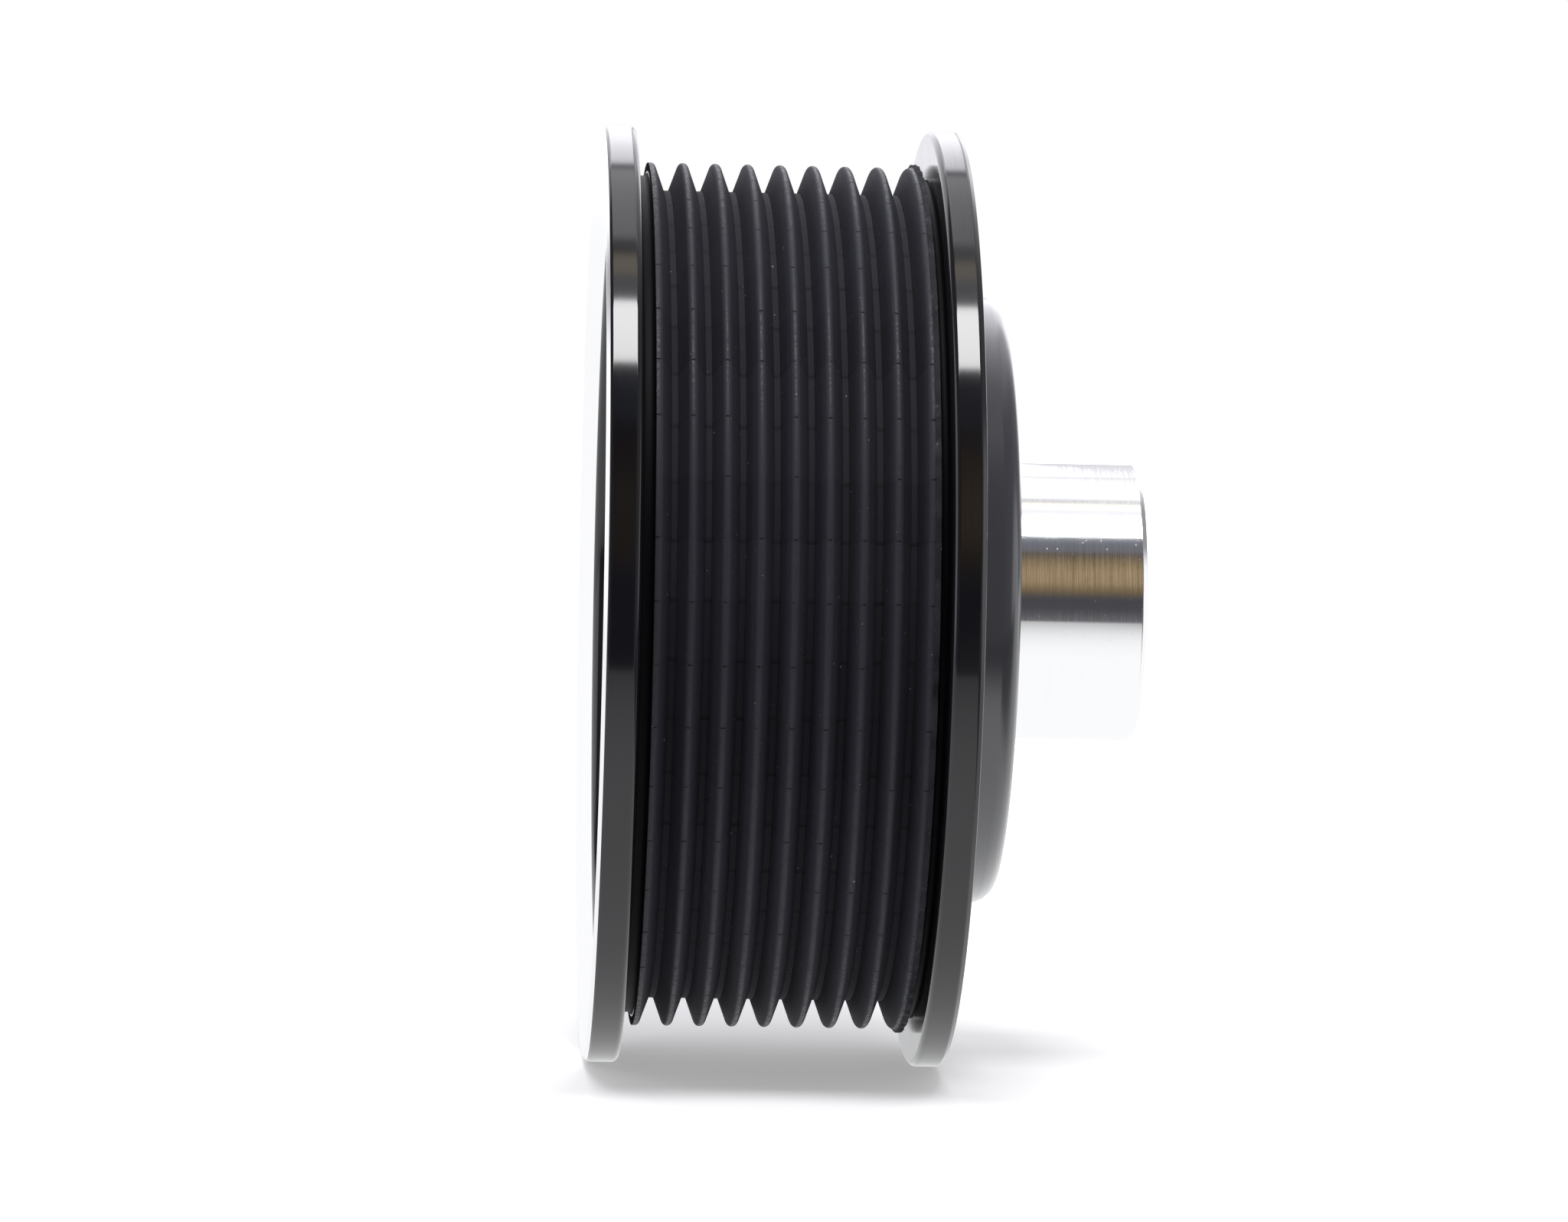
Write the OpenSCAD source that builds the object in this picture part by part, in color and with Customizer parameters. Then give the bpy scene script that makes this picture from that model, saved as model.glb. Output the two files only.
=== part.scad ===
// Ribbed idler pulley: a turned body on two sealed ball bearings and a stand-off spacer.
// The spin axis is Y. The origin is on that axis, midway between the two flange faces.
// The front, open to the bolt head, faces -Y. The stand-off points to +Y.

/* [Belt track] */
// Number of belt grooves
groove_count = 8; // [4:1:10]
// Distance from one groove to the next
groove_pitch = 3.56; // [3.4:0.01:4]
// Depth from a rib's crest to the groove floor
groove_depth = 3.05; // [2.4:0.05:3.2]
// Included angle of a groove
groove_angle = 40; // [36:1:42]
// Diameter over the rib crests
crest_d = 94.7; // [94:0.1:97]
// Radius of a rib's rounded crest
crest_round = 0.5; // [0.3:0.05:0.55]
// Distance from the first crest to the front wall of the ribs
front_shoulder = 0.3; // [0.1:0.05:0.45]
// Distance from the last crest to the rear wall of the ribs
rear_shoulder = 0.78; // [0.72:0.02:1.2]
// Width of the narrow uncut land at the rear wall of the ribs
uncut_land_w = 0.56; // [0.3:0.02:0.7]
// Height of that land above the crests
uncut_land_h = 0.4; // [0.1:0.05:0.8]
// Width of the relief groove beside the front flange
front_relief_w = 1.46; // [0.8:0.02:2]
// Width of the relief groove beside the rear flange
rear_relief_w = 0.98; // [0.6:0.02:2]
// Depth of both relief grooves below the crests
relief_depth = 1.45; // [0.8:0.05:2]

/* [Flanges] */
// Diameter over the flanges
flange_d = 102.8; // [99:0.2:110]
// Thickness of the front flange
front_flange_t = 3.85; // [2.8:0.05:5]
// Thickness of the rear flange
rear_flange_t = 3.5; // [2.8:0.05:5]
// Chamfer on a flange's outside edge
flange_edge = 0.55; // [0.2:0.05:1]
// Chamfer on a flange's belt side
flange_lead_in = 0.45; // [0.2:0.05:1]

/* [Front recess] */
// How far the front face slopes in from the flange to the recess
face_slope = 1.75; // [0.4:0.05:2.5]
// Diameter of the recess at its mouth
recess_d = 84; // [80:0.5:86]
// Draft of the recess's wall, in degrees
recess_draft = 1.5; // [0.5:0.25:3]
// Thickness of the web behind the recess
web_t = 10; // [6:0.5:14]
// Fillet where the recess's walls meet the web
web_fillet = 2.5; // [1:0.25:3.5]
// Outside diameter of the hub inside the recess
hub_d = 66; // [63:0.5:68]
// Rounding of the hub's front edge
hub_round = 1.5; // [0.5:0.25:2]

/* [Rear boss] */
// Diameter of the boss at its foot
boss_d = 68; // [64:0.2:72]
// Height of the boss above the rear flange
boss_h = 5.4; // [4:0.1:8]
// Draft of the boss's side, in degrees
boss_draft = 12; // [4:1:16]
// Radius of the boss's rounded shoulder
boss_round = 2.5; // [1:0.25:3]

/* [Bearings] */
// Outside diameter of a bearing
bearing_od = 52; // [50:0.5:54]
// Bore of a bearing
bearing_bore = 20; // [18:0.5:22]
// Width of a bearing
bearing_w = 15; // [14.5:0.5:17]
// Diameter of a ball
ball_d = 9.525; // [9:0.025:10]
// Number of balls in a bearing
ball_count = 7; // [6:1:8]
// Gap between a ball and its raceways
ball_play = 0.05; // [0.03:0.01:0.08]
// Thickness of an outer ring at its shoulders
outer_ring_t = 5.15; // [4.5:0.05:5.5]
// Thickness of an outer ring around a seal's rim
seal_rim_t = 3.6; // [3:0.1:4]
// Thickness of a seal
seal_t = 1.4; // [1:0.1:1.6]
// How far a seal sits inside the bearing's face
seal_inset = 0.3; // [0.2:0.05:0.5]
// Width of the thin waist beside a seal's lip
seal_waist_w = 1.2; // [0.8:0.1:2]
// Depth of that waist
seal_waist_depth = 0.4; // [0.2:0.05:0.6]
// Width of a seal's lip
seal_lip_w = 0.6; // [0.4:0.05:1]
// Gap between a seal's lip and the inner ring
seal_gap = 0.05; // [0.03:0.01:0.1]
// Radial thickness of the ball cage
cage_wall = 2.2; // [1.5:0.1:3]
// Gap between the cage and the balls
cage_play = 0.15; // [0.1:0.05:0.3]
// Gap between the cage and the seals
cage_side_gap = 0.25; // [0.2:0.05:0.5]
// Chamfer on a ring's corners
ring_corner = 0.8; // [0.3:0.1:1]
// Thickness of the lip that the rear bearing rests against
seat_lip_t = 1.5; // [1:0.25:3]
// How far that lip reaches in over the bearing
seat_lip_w = 3.5; // [2:0.25:4.5]

/* [Retaining ring] */
// Thickness of the retaining ring
clip_t = 2; // [1.5:0.1:2.5]
// Play of the retaining ring along its groove
clip_play = 0.15; // [0.1:0.05:0.3]
// Depth of the groove in the bearing bore
clip_groove_depth = 1.5; // [1:0.1:2]
// Radial width of the ring opposite its gap
clip_w = 4.5; // [4:0.1:4.8]
// How much narrower the ring is beside its gap
clip_taper = 1.2; // [0.6:0.1:1.6]
// Angle of the ring's gap, in degrees
clip_gap = 22; // [16:1:40]
// Diameter of the lugs at the gap
clip_lug_d = 6.8; // [5.5:0.1:7.5]
// Plier hole in a lug
clip_hole_d = 2.5; // [2:0.1:3]
// Hub wall left in front of the ring's groove
clip_land = 2.5; // [2:0.25:4]

/* [Spacer] */
// Outside diameter of the stand-off
standoff_d = 30.4; // [28:0.2:34]
// How far the stand-off stands proud of the inner rings that rest against it
standoff_proud = 0.05; // [0.02:0.01:0.2]
// Length of the stand-off beyond the boss
standoff_l = 15.2; // [8:0.1:30]
// Bolt hole through the spacer
bolt_hole_d = 10.5; // [8.5:0.25:13]
// How far the sleeve stops short of the front bearing's face
sleeve_set_back = 0.3; // [0.1:0.05:0.6]
// Chamfer on the spacer's edges
spacer_chamfer = 0.5; // [0.2:0.05:0.8]

/* [Hidden] */

$fn = 96;
arc_steps = 6;

flank = groove_angle / 2;
crest_r = crest_d / 2;
groove_floor_r = crest_r - groove_depth;
relief_floor_r = crest_r - relief_depth;
flange_r = flange_d / 2;

track_w = front_shoulder + groove_count * groove_pitch + rear_shoulder;
body_w = track_w + front_relief_w + rear_relief_w + front_flange_t + rear_flange_t;
front_y = -body_w / 2;
rear_y = body_w / 2;
track_front_y = front_y + front_flange_t + front_relief_w;
track_rear_y = rear_y - rear_flange_t - rear_relief_w;
first_crest_y = track_front_y + front_shoulder;
last_crest_y = track_rear_y - rear_shoulder;
// Half the width of a rib where it meets the groove floor
rib_half_w = crest_round * cos(flank)
    + (groove_depth - crest_round + crest_round * sin(flank)) * tan(flank);

boss_end_y = rear_y + boss_h;
bearing_seat_y = boss_end_y - seat_lip_t;
rear_bearing_y = bearing_seat_y - bearing_w / 2;
front_bearing_y = rear_bearing_y - bearing_w;
bearing_front_y = front_bearing_y - bearing_w / 2;
clip_groove_front_y = bearing_front_y - clip_t - clip_play;
hub_front_y = clip_groove_front_y - clip_land;
web_floor_y = rear_y - web_t;
recess_mouth_y = front_y + face_slope;

bearing_r = bearing_od / 2;
bore_r = bearing_bore / 2;
standoff_r = standoff_d / 2;
inner_shoulder_r = standoff_r - standoff_proud;
outer_shoulder_r = bearing_r - outer_ring_t;
seal_seat_r = bearing_r - seal_rim_t;
pitch_r = (outer_shoulder_r + inner_shoulder_r) / 2;
race_r = ball_d / 2 + ball_play;
seal_step = seal_inset + seal_t;
cage_w = bearing_w - 2 * (seal_step + cage_side_gap);
clip_groove_r = bearing_r + clip_groove_depth;
// Middle of a lug, along the gap's edge and back from it
clip_lug_r = clip_groove_r - clip_w + clip_taper - clip_lug_d / 4;
clip_lug_back = 0.4 * clip_lug_d;
standoff_end_y = boss_end_y + standoff_l;

// Points on an arc, as [radius, axial place]. An angle of 0 points outwards, 90 points to the rear.
function arc(centre, r, from, to) =
    [for (i = [0:arc_steps])
        let (a = from + (to - from) * i / arc_steps)
        centre + r * [cos(a), sin(a)]];

// One rib's rounded crest between two angles
function crest(k, from, to) =
    arc([crest_r - crest_round, first_crest_y + k * groove_pitch], crest_round, from, to);

// A groove's flat floor after crest k
function groove_floor(k) =
    [for (side = [0, 1])
        [groove_floor_r,
         first_crest_y + (k + side) * groove_pitch + (1 - 2 * side) * rib_half_w]];

// The ribbed track from its front wall to its rear wall
function track() = concat(
    [[relief_floor_r, track_front_y], [crest_r, track_front_y]],
    crest(0, 0, 90 - flank),
    [for (k = [1:groove_count])
        each concat(groove_floor(k - 1),
                    crest(k, flank - 90, k < groove_count ? 90 - flank : 0))],
    [[crest_r, track_rear_y - uncut_land_w],
     [crest_r + uncut_land_h, track_rear_y - uncut_land_w],
     [crest_r + uncut_land_h, track_rear_y],
     [relief_floor_r, track_rear_y]]);

function front_flange() =
    [[flange_r - flange_edge, front_y],
     [flange_r, front_y + flange_edge],
     [flange_r, front_y + front_flange_t - flange_lead_in],
     [flange_r - flange_lead_in, front_y + front_flange_t],
     [relief_floor_r, front_y + front_flange_t]];

function rear_flange() =
    [[relief_floor_r, rear_y - rear_flange_t],
     [flange_r - flange_lead_in, rear_y - rear_flange_t],
     [flange_r, rear_y - rear_flange_t + flange_lead_in],
     [flange_r, rear_y - flange_edge],
     [flange_r - flange_edge, rear_y]];

// The drafted boss with its rounded shoulder, and the lip that the rear bearing rests against
function rear_boss() =
    let (middle_y = boss_end_y - boss_round,
         tangent_y = middle_y + boss_round * sin(boss_draft),
         tangent_r = boss_d / 2 - (tangent_y - rear_y) * tan(boss_draft))
    concat(
        [[boss_d / 2, rear_y]],
        arc([tangent_r - boss_round * cos(boss_draft), middle_y], boss_round, boss_draft, 90),
        [[bearing_r - seat_lip_w, boss_end_y],
         [bearing_r - seat_lip_w, bearing_seat_y]]);

function bearing_bore_wall() =
    [[bearing_r, bearing_seat_y],
     [bearing_r, bearing_front_y],
     [clip_groove_r, bearing_front_y],
     [clip_groove_r, clip_groove_front_y],
     [bearing_r, clip_groove_front_y],
     [bearing_r, hub_front_y]];

// The recess between the hub and the rim, from the hub's front edge out to the mouth
function front_recess() =
    let (mouth_r = recess_d / 2,
         floor_r = mouth_r - (web_floor_y - recess_mouth_y) * tan(recess_draft))
    concat(
        arc([hub_d / 2 - hub_round, hub_front_y + hub_round], hub_round, -90, 0),
        arc([hub_d / 2 + web_fillet, web_floor_y - web_fillet], web_fillet, 180, 90),
        arc([floor_r - web_fillet, web_floor_y - web_fillet], web_fillet, 90, 0),
        [[mouth_r, recess_mouth_y]]);

// Turns a profile of [radius, axial place] about the spin axis
module turned(profile) {
    rotate([-90, 0, 0])
        rotate_extrude()
            polygon(profile);
}

module pulley_body() {
    color("#1d1e21")
        turned(concat(front_flange(), track(), rear_flange(), rear_boss(),
                      bearing_bore_wall(), front_recess()));
}

// The stand-off outside the boss and the sleeve inside the bearings are one piece
module spacer() {
    hole_r = bolt_hole_d / 2;
    sleeve_front_y = bearing_front_y + sleeve_set_back;
    c = spacer_chamfer;
    color("#c9cbcd")
        turned([[hole_r + c, sleeve_front_y],
                [bore_r - c, sleeve_front_y],
                [bore_r, sleeve_front_y + c],
                [bore_r, bearing_seat_y],
                [standoff_r - c, bearing_seat_y],
                [standoff_r, bearing_seat_y + c],
                [standoff_r, standoff_end_y - c],
                [standoff_r - c, standoff_end_y],
                [hole_r + c, standoff_end_y],
                [hole_r, standoff_end_y - c],
                [hole_r, sleeve_front_y + c]]);
}

// Puts its children at the middle of both lugs, with x along the gap's edge
module at_lugs() {
    for (side = [0, 1])
        mirror([side, 0])
            rotate(90 + clip_gap / 2)
                translate([clip_lug_r, clip_lug_back])
                    children();
}

// The ring in the flat: its hole is off centre, so that it is widest opposite the gap, where it bends most
module clip_outline() {
    past = 2 * clip_groove_r;
    difference() {
        union() {
            difference() {
                circle(r = clip_groove_r);
                translate([0, clip_taper / 2])
                    circle(r = clip_groove_r - clip_w + clip_taper / 2);
            }
            at_lugs() {
                circle(d = clip_lug_d);
                translate([0, -clip_lug_d / 2])
                    square([clip_lug_d / 2, clip_lug_d / 2]);
            }
        }
        polygon([[0, 0],
                 [past * tan(clip_gap / 2), past],
                 [-past * tan(clip_gap / 2), past]]);
        at_lugs()
            circle(d = clip_hole_d);
    }
}

// An open ring, stamped from spring steel, whose two lugs carry the plier holes. Its gap is at the bottom.
module retaining_ring() {
    color("#2b2c2f")
        translate([0, bearing_front_y - clip_t, 0])
            rotate([-90, 0, 0])
                linear_extrude(height = clip_t)
                    clip_outline();
}

// Turns a flat shape about the spin axis, with its own middle at a bearing's middle
module turned_at(middle_y) {
    translate([0, middle_y, 0])
        rotate([-90, 0, 0])
            rotate_extrude()
                children();
}

module raceway() {
    translate([pitch_r, 0])
        circle(r = race_r, $fn = 64);
}

module outer_ring(middle_y) {
    half = bearing_w / 2;
    land = outer_shoulder_r;
    seat = seal_seat_r;
    c = ring_corner;
    color("#b4b8bc")
        turned_at(middle_y)
            difference() {
                polygon([[seat, -half], [bearing_r - c, -half], [bearing_r, c - half],
                         [bearing_r, half - c], [bearing_r - c, half], [seat, half],
                         [seat, half - seal_step], [land, half - seal_step],
                         [land, seal_step - half], [seat, seal_step - half]]);
                raceway();
            }
}

module inner_ring(middle_y) {
    half = bearing_w / 2;
    land = inner_shoulder_r;
    c = ring_corner;
    color("#b4b8bc")
        turned_at(middle_y)
            difference() {
                polygon([[bore_r, c - half], [bore_r + c, -half], [land, -half],
                         [land, half], [bore_r + c, half], [bore_r, half - c]]);
                raceway();
            }
}

module balls_round(middle_y, diameter) {
    for (i = [0:ball_count - 1])
        rotate([0, 360 * i / ball_count, 0])
            translate([0, middle_y, pitch_r])
                sphere(d = diameter, $fn = 48);
}

module balls(middle_y) {
    color("#d4d7da")
        balls_round(middle_y, ball_d);
}

module cage(middle_y) {
    color("#9a9ea3")
        difference() {
            turned_at(middle_y)
                translate([pitch_r - cage_wall / 2, -cage_w / 2])
                    square([cage_wall, cage_w]);
            balls_round(middle_y, ball_d + 2 * cage_play);
        }
}

// A seal's rim fits the outer ring's step. A thin waist lets its lip bend beside the inner ring.
module seal(middle_y, side) {
    lip_r = inner_shoulder_r + seal_gap;
    waist_r = lip_r + seal_lip_w;
    outside = bearing_w / 2 - seal_inset;
    inside = outside - seal_t;
    slope = seal_waist_depth / 2;
    profile = [[lip_r, inside], [seal_seat_r, inside], [seal_seat_r, outside],
               [waist_r + seal_waist_w, outside],
               [waist_r + seal_waist_w - slope, outside - seal_waist_depth],
               [waist_r + slope, outside - seal_waist_depth],
               [waist_r, outside], [lip_r, outside]];
    color("#17181a")
        turned_at(middle_y)
            polygon([for (p = profile) [p[0], side * p[1]]]);
}

pulley_body();
spacer();
retaining_ring();
outer_ring(front_bearing_y);  // front_outer_ring
inner_ring(front_bearing_y);  // front_inner_ring
balls(front_bearing_y);  // front_balls
cage(front_bearing_y);  // front_cage
seal(front_bearing_y, -1);  // front_outside_seal
seal(front_bearing_y, 1);  // front_inside_seal
outer_ring(rear_bearing_y);  // rear_outer_ring
inner_ring(rear_bearing_y);  // rear_inner_ring
balls(rear_bearing_y);  // rear_balls
cage(rear_bearing_y);  // rear_cage
seal(rear_bearing_y, -1);  // rear_inside_seal
seal(rear_bearing_y, 1);  // rear_outside_seal
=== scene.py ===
import math

import bmesh
import bpy
from mathutils import Matrix, Vector


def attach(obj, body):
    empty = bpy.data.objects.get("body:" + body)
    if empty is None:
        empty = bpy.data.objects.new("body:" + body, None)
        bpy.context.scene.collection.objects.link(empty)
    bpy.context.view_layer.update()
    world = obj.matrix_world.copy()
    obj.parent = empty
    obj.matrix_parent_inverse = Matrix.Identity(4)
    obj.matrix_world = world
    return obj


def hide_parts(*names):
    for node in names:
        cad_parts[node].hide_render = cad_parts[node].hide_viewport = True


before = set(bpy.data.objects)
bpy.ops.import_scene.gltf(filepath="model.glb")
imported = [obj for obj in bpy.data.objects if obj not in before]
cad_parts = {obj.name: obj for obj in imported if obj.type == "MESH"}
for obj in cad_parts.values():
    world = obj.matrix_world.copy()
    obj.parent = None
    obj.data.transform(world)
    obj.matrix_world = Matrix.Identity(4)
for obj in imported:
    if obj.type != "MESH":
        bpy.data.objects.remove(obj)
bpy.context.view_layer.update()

# Pulley body. One piece of aluminium, turned to shape with its two flanges, its ribs and its rear boss,
# then anodised black. The ribs carry a matte grip texture, put on in 45 bands whose seams show, and the
# front face and its edge are cut once more after anodising, which leaves them bright. The boss is satin.
MM = 0.001

# In millimetres: radii, and places along the spin axis from midway between the two flange faces.
flange_r, lead_in, rim_edge = 51.4, 0.45, 0.55
front_face, front_wall, rear_wall, rear_face = -19.675, -15.825, 16.175, 19.675
crest_r, groove_depth, groove_angle, crest_round = 47.35, 3.05, 40.0, 0.5
groove_count, groove_pitch, first_crest = 8, 3.56, -14.065
groove_floor, last_crest = crest_r - groove_depth, first_crest + groove_count * groove_pitch
track_front, land_front, land_back, land_r, relief_floor = -14.365, 14.635, 15.195, 47.75, 45.9
boss_r, boss_end_r, boss_end, boss_round, boss_opening = 34.0, 32.852, 25.075, 2.5, 22.5
bearing_bore, bearing_seat = 26.0, 23.575
ring_groove_r, ring_groove_front, ring_groove_back = 27.5, -8.575, -6.425
hub_r, hub_front, hub_round, web_front, web_fillet = 33.0, -11.075, 1.5, 9.675, 2.5
recess_r, recess_floor_r, recess_mouth, mouth_round = 42.0, 41.277, -17.925, 1.2
band_count, first_seam = 45, math.radians(2.2)


class Wire:
    """One output of a node. Sums and products of wires add the Math nodes that they need."""

    def __init__(self, tree, socket=None):
        self.tree = tree
        self.socket = socket

    def node(self, kind, settings=None, inputs=None, output=0):
        """Adds a node of any kind: its settings first, then the values or wires of its sockets."""
        made = self.tree.nodes.new(kind)
        for name, setting in (settings or {}).items():
            if name == "stops":
                ramp = made.color_ramp.elements
                while len(ramp) < len(setting):
                    ramp.new(1.0)
                for element, (place, colour) in zip(ramp, setting):
                    element.position = place
                    element.color = (*colour, 1.0)
            else:
                setattr(made, name, setting)
        for name, value in (inputs or {}).items():
            if isinstance(value, Wire):
                self.tree.links.new(value.socket, made.inputs[name])
            else:
                made.inputs[name].default_value = value
        return Wire(self.tree, made.outputs[output])

    def math(self, operation, *others):
        """This wire, then any others, through one Math node."""
        return self.node("ShaderNodeMath", {"operation": operation}, dict(enumerate((self, *others))))

    def __add__(self, other):
        return self.math("ADD", other)

    __radd__ = __add__

    def __sub__(self, other):
        return self.math("SUBTRACT", other)

    def __rsub__(self, other):
        return self.node("ShaderNodeMath", {"operation": "SUBTRACT"}, {0: other, 1: self})

    def __mul__(self, other):
        return self.math("MULTIPLY", other)

    __rmul__ = __mul__

    def __truediv__(self, other):
        return self.math("DIVIDE", other)

    def __lt__(self, other):
        return self.math("LESS_THAN", other)

    def __gt__(self, other):
        return self.math("GREATER_THAN", other)

    def parts(self):
        """The X, Y and Z of this vector."""
        return [self.node("ShaderNodeSeparateXYZ", None, {0: self}, axis) for axis in range(3)]

    def ramp(self, low, high, to_low=0.0, to_high=1.0):
        """A smooth step from to_low at low to to_high at high."""
        return self.node("ShaderNodeMapRange", {"interpolation_type": "SMOOTHSTEP"},
                         {0: self, 1: low, 2: high, 3: to_low, 4: to_high})

    def noise(self, vector, scale, detail=2.0, roughness=0.5):
        return self.node("ShaderNodeTexNoise", None,
                         {"Vector": vector, "Scale": scale, "Detail": detail, "Roughness": roughness})

    def colour_between(self, first, second):
        """Two colours mixed by this wire."""
        return self.node("ShaderNodeMix", {"data_type": "RGBA"}, {0: self, 6: first, 7: second}, 2)


def new_finish(name, **constants):
    """A material with its Principled shader, and the wire that its other nodes start from."""
    finish = bpy.data.materials.new(name)
    finish.use_nodes = True
    shader = finish.node_tree.nodes["Principled BSDF"]
    for socket, value in constants.items():
        shader.inputs[socket.replace("_", " ")].default_value = value
    return finish, shader, Wire(finish.node_tree)


def object_place(start):
    return start.node("ShaderNodeTexCoord", None, None, "Object")


def turned_places(start):
    """Object coordinates, distance from the spin axis, place along it and the turn round it."""
    place = object_place(start)
    x, y, z = place.parts()
    return place, (x * x + z * z).math("SQRT"), y, z.math("ARCTAN2", x)


def feed(shader, **wires):
    """Joins wires to the sockets of a shader."""
    for socket, wire in wires.items():
        wire.tree.links.new(wire.socket, shader.inputs[socket.replace("_", " ")])


def bumps(start, height, strength, distance):
    """A normal from a height, with the distance in metres."""
    return start.node("ShaderNodeBump", None,
                      {"Height": height, "Strength": strength, "Distance": distance})


def lathe_lines(start, radius, along, turn, per_mm):
    """Fine marks that a tool leaves: they run round the axis and change across it."""
    across = start.node("ShaderNodeCombineXYZ", None,
                        {0: (radius + along) * (1000.0 * per_mm), 1: turn * 0.35})
    return start.noise(across, 1.0, 3.0, 0.6)


black_gloss, shader, start = new_finish("black_anodised", IOR=1.62, Metallic=0.0, Coat_IOR=1.6,
                                        Coat_Roughness=0.16)
place, radius, along, turn = turned_places(start)
smears = start.noise(place, 90.0, 3.0)
marks = lathe_lines(start, radius, along, turn, 9.0)
satin = along.ramp((rear_face - 0.055) * MM, (rear_face + 0.025) * MM)
between_flanges = (along.ramp((front_wall - 0.125) * MM, (front_wall - 0.025) * MM)
                   * along.ramp((rear_wall + 0.075) * MM, (rear_wall + 0.225) * MM, 1.0, 0.0))
walls = between_flanges * radius.ramp((relief_floor - 1.4) * MM, (relief_floor - 0.4) * MM)
polished = smears.colour_between((0.0035, 0.0035, 0.005, 1), (0.007, 0.007, 0.010, 1))
feed(shader,
     Base_Color=satin.colour_between(polished, (0.020, 0.021, 0.030, 1)),
     Roughness=0.06 + smears * 0.05 + marks * 0.03 + satin * 0.12 + walls * 0.08,
     Coat_Weight=satin,
     Normal=bumps(start, marks, 0.06, 0.00002))

matte_ribs, shader, start = new_finish("textured_ribs", IOR=1.35, Metallic=0.0)
place, radius, along, turn = turned_places(start)
grit = start.noise(place, 3800.0, 3.0, 0.65)
coarse = start.noise(place, 700.0, 3.0, 0.6)
grains = start.noise(place, 2300.0, 2.0, 0.6).ramp(0.36, 0.64)
streaks = lathe_lines(start, radius, along, turn, 4.0)
wander = start.noise(place, 150.0, 2.0) * 0.006
bands = (turn + wander - first_seam) * (band_count / math.tau)
band = bands.math("FLOOR")
past_seam = bands - band
band_tone = start.node("ShaderNodeTexWhiteNoise", {"noise_dimensions": "1D"}, {"W": band})
seam_place = start.node("ShaderNodeCombineXYZ", None, {0: band * 3.7, 1: along * 420.0})
seam_depth = start.noise(seam_place, 1.0, 1.0)
on_floor = radius.ramp((groove_floor + 0.15) * MM, (groove_floor + 0.45) * MM, 1.0, 0.15)
# Just past each seam the groove floors are darkened: a seam mark that also paints the break in the floors'
# highlight as shade.
above_seam = past_seam.ramp(0.0, 0.11, 1.0, 0.0) * seam_depth.ramp(0.25, 0.6, 0.3, 1.0) * on_floor
below_seam = past_seam.ramp(0.93, 1.0) * on_floor
# The crest band gets a colour of its own, which is partly wear and partly a painted highlight along each
# crest; it is also less rough.
crest_wear_and_highlight = (radius.ramp((crest_r - 0.12) * MM, (crest_r - 0.01) * MM)
              * radius.ramp((crest_r + 0.05) * MM, (crest_r + 0.15) * MM, 1.0, 0.2))
nick = past_seam.ramp(0.014, 0.034, 1.0, 0.0) * seam_depth.ramp(0.42, 0.50) * crest_wear_and_highlight
# The groove floors are darkened down to 0.56 at their bottom: painted shade in the grooves.
painted_groove_shade = radius.ramp((groove_floor + 0.02) * MM, (groove_floor + 0.25) * MM, 0.56, 1.0)
fleck = start.noise(place, 2600.0, 0.0).ramp(0.865, 0.89)
tone = grit * 0.5 + band_tone * 0.25 + streaks * 0.25
on_land = radius.ramp((crest_r + 0.05) * MM, (crest_r + 0.2) * MM, 1.0, 0.6)
# Darkening of the rib colour: painted shade on the groove floors and just past each seam, with the nicks and
# the duller uncut land, which are the surface's own.
marks_and_painted_shade = (1.0 - above_seam * 0.75) * (1.0 - nick * 0.85) * painted_groove_shade * on_land
coated = tone.colour_between((0.0165, 0.017, 0.026, 1), (0.0445, 0.0455, 0.059, 1))
charcoal = marks_and_painted_shade.colour_between((0.0, 0.0, 0.0, 1), coated)
# Mixes in the crest colour: wear, and a painted highlight along each crest.
crest_tone = crest_wear_and_highlight * (0.25 + 0.75 * grains + 0.25 * coarse) * (1.0 - nick * 0.95)
wear_and_highlight_colour = crest_tone.colour_between(charcoal, (0.028, 0.029, 0.0375, 1))
texture = grit * 0.7 + coarse * 0.5 + streaks * 0.5 + below_seam * 0.5 - nick
feed(shader,
     Base_Color=fleck.colour_between(wear_and_highlight_colour, (0.25, 0.25, 0.26, 1)),
     Roughness=0.70 + 0.2 * grit - crest_wear_and_highlight * (0.18 + 0.2 * grains) + nick * 0.35,
     Normal=bumps(start, texture, 0.5, 0.00006))

# This is the black anodising again, duller and far less reflective, which paints the shade inside the narrow
# relief grooves beside the flanges.
relief_black, shader, start = new_finish("tool_relief", IOR=1.2, Metallic=0.0)
_, radius, along, turn = turned_places(start)
chatter = lathe_lines(start, radius, along, turn, 12.0)
feed(shader,
     Base_Color=chatter.colour_between((0.003, 0.003, 0.004, 1), (0.007, 0.007, 0.009, 1)),
     Roughness=0.45 + chatter * 0.2,
     Normal=bumps(start, chatter, 0.2, 0.00003))

bright_cut, shader, start = new_finish("bright_cut_face", Metallic=1.0)
_, radius, along, turn = turned_places(start)
cut_marks = lathe_lines(start, radius, along, turn, 7.0)
feed(shader,
     Base_Color=cut_marks.colour_between((0.92, 0.92, 0.93, 1), (0.99, 0.99, 0.99, 1)),
     Roughness=0.16 + cut_marks * 0.12,
     Normal=bumps(start, cut_marks, 0.12, 0.00003))


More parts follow.
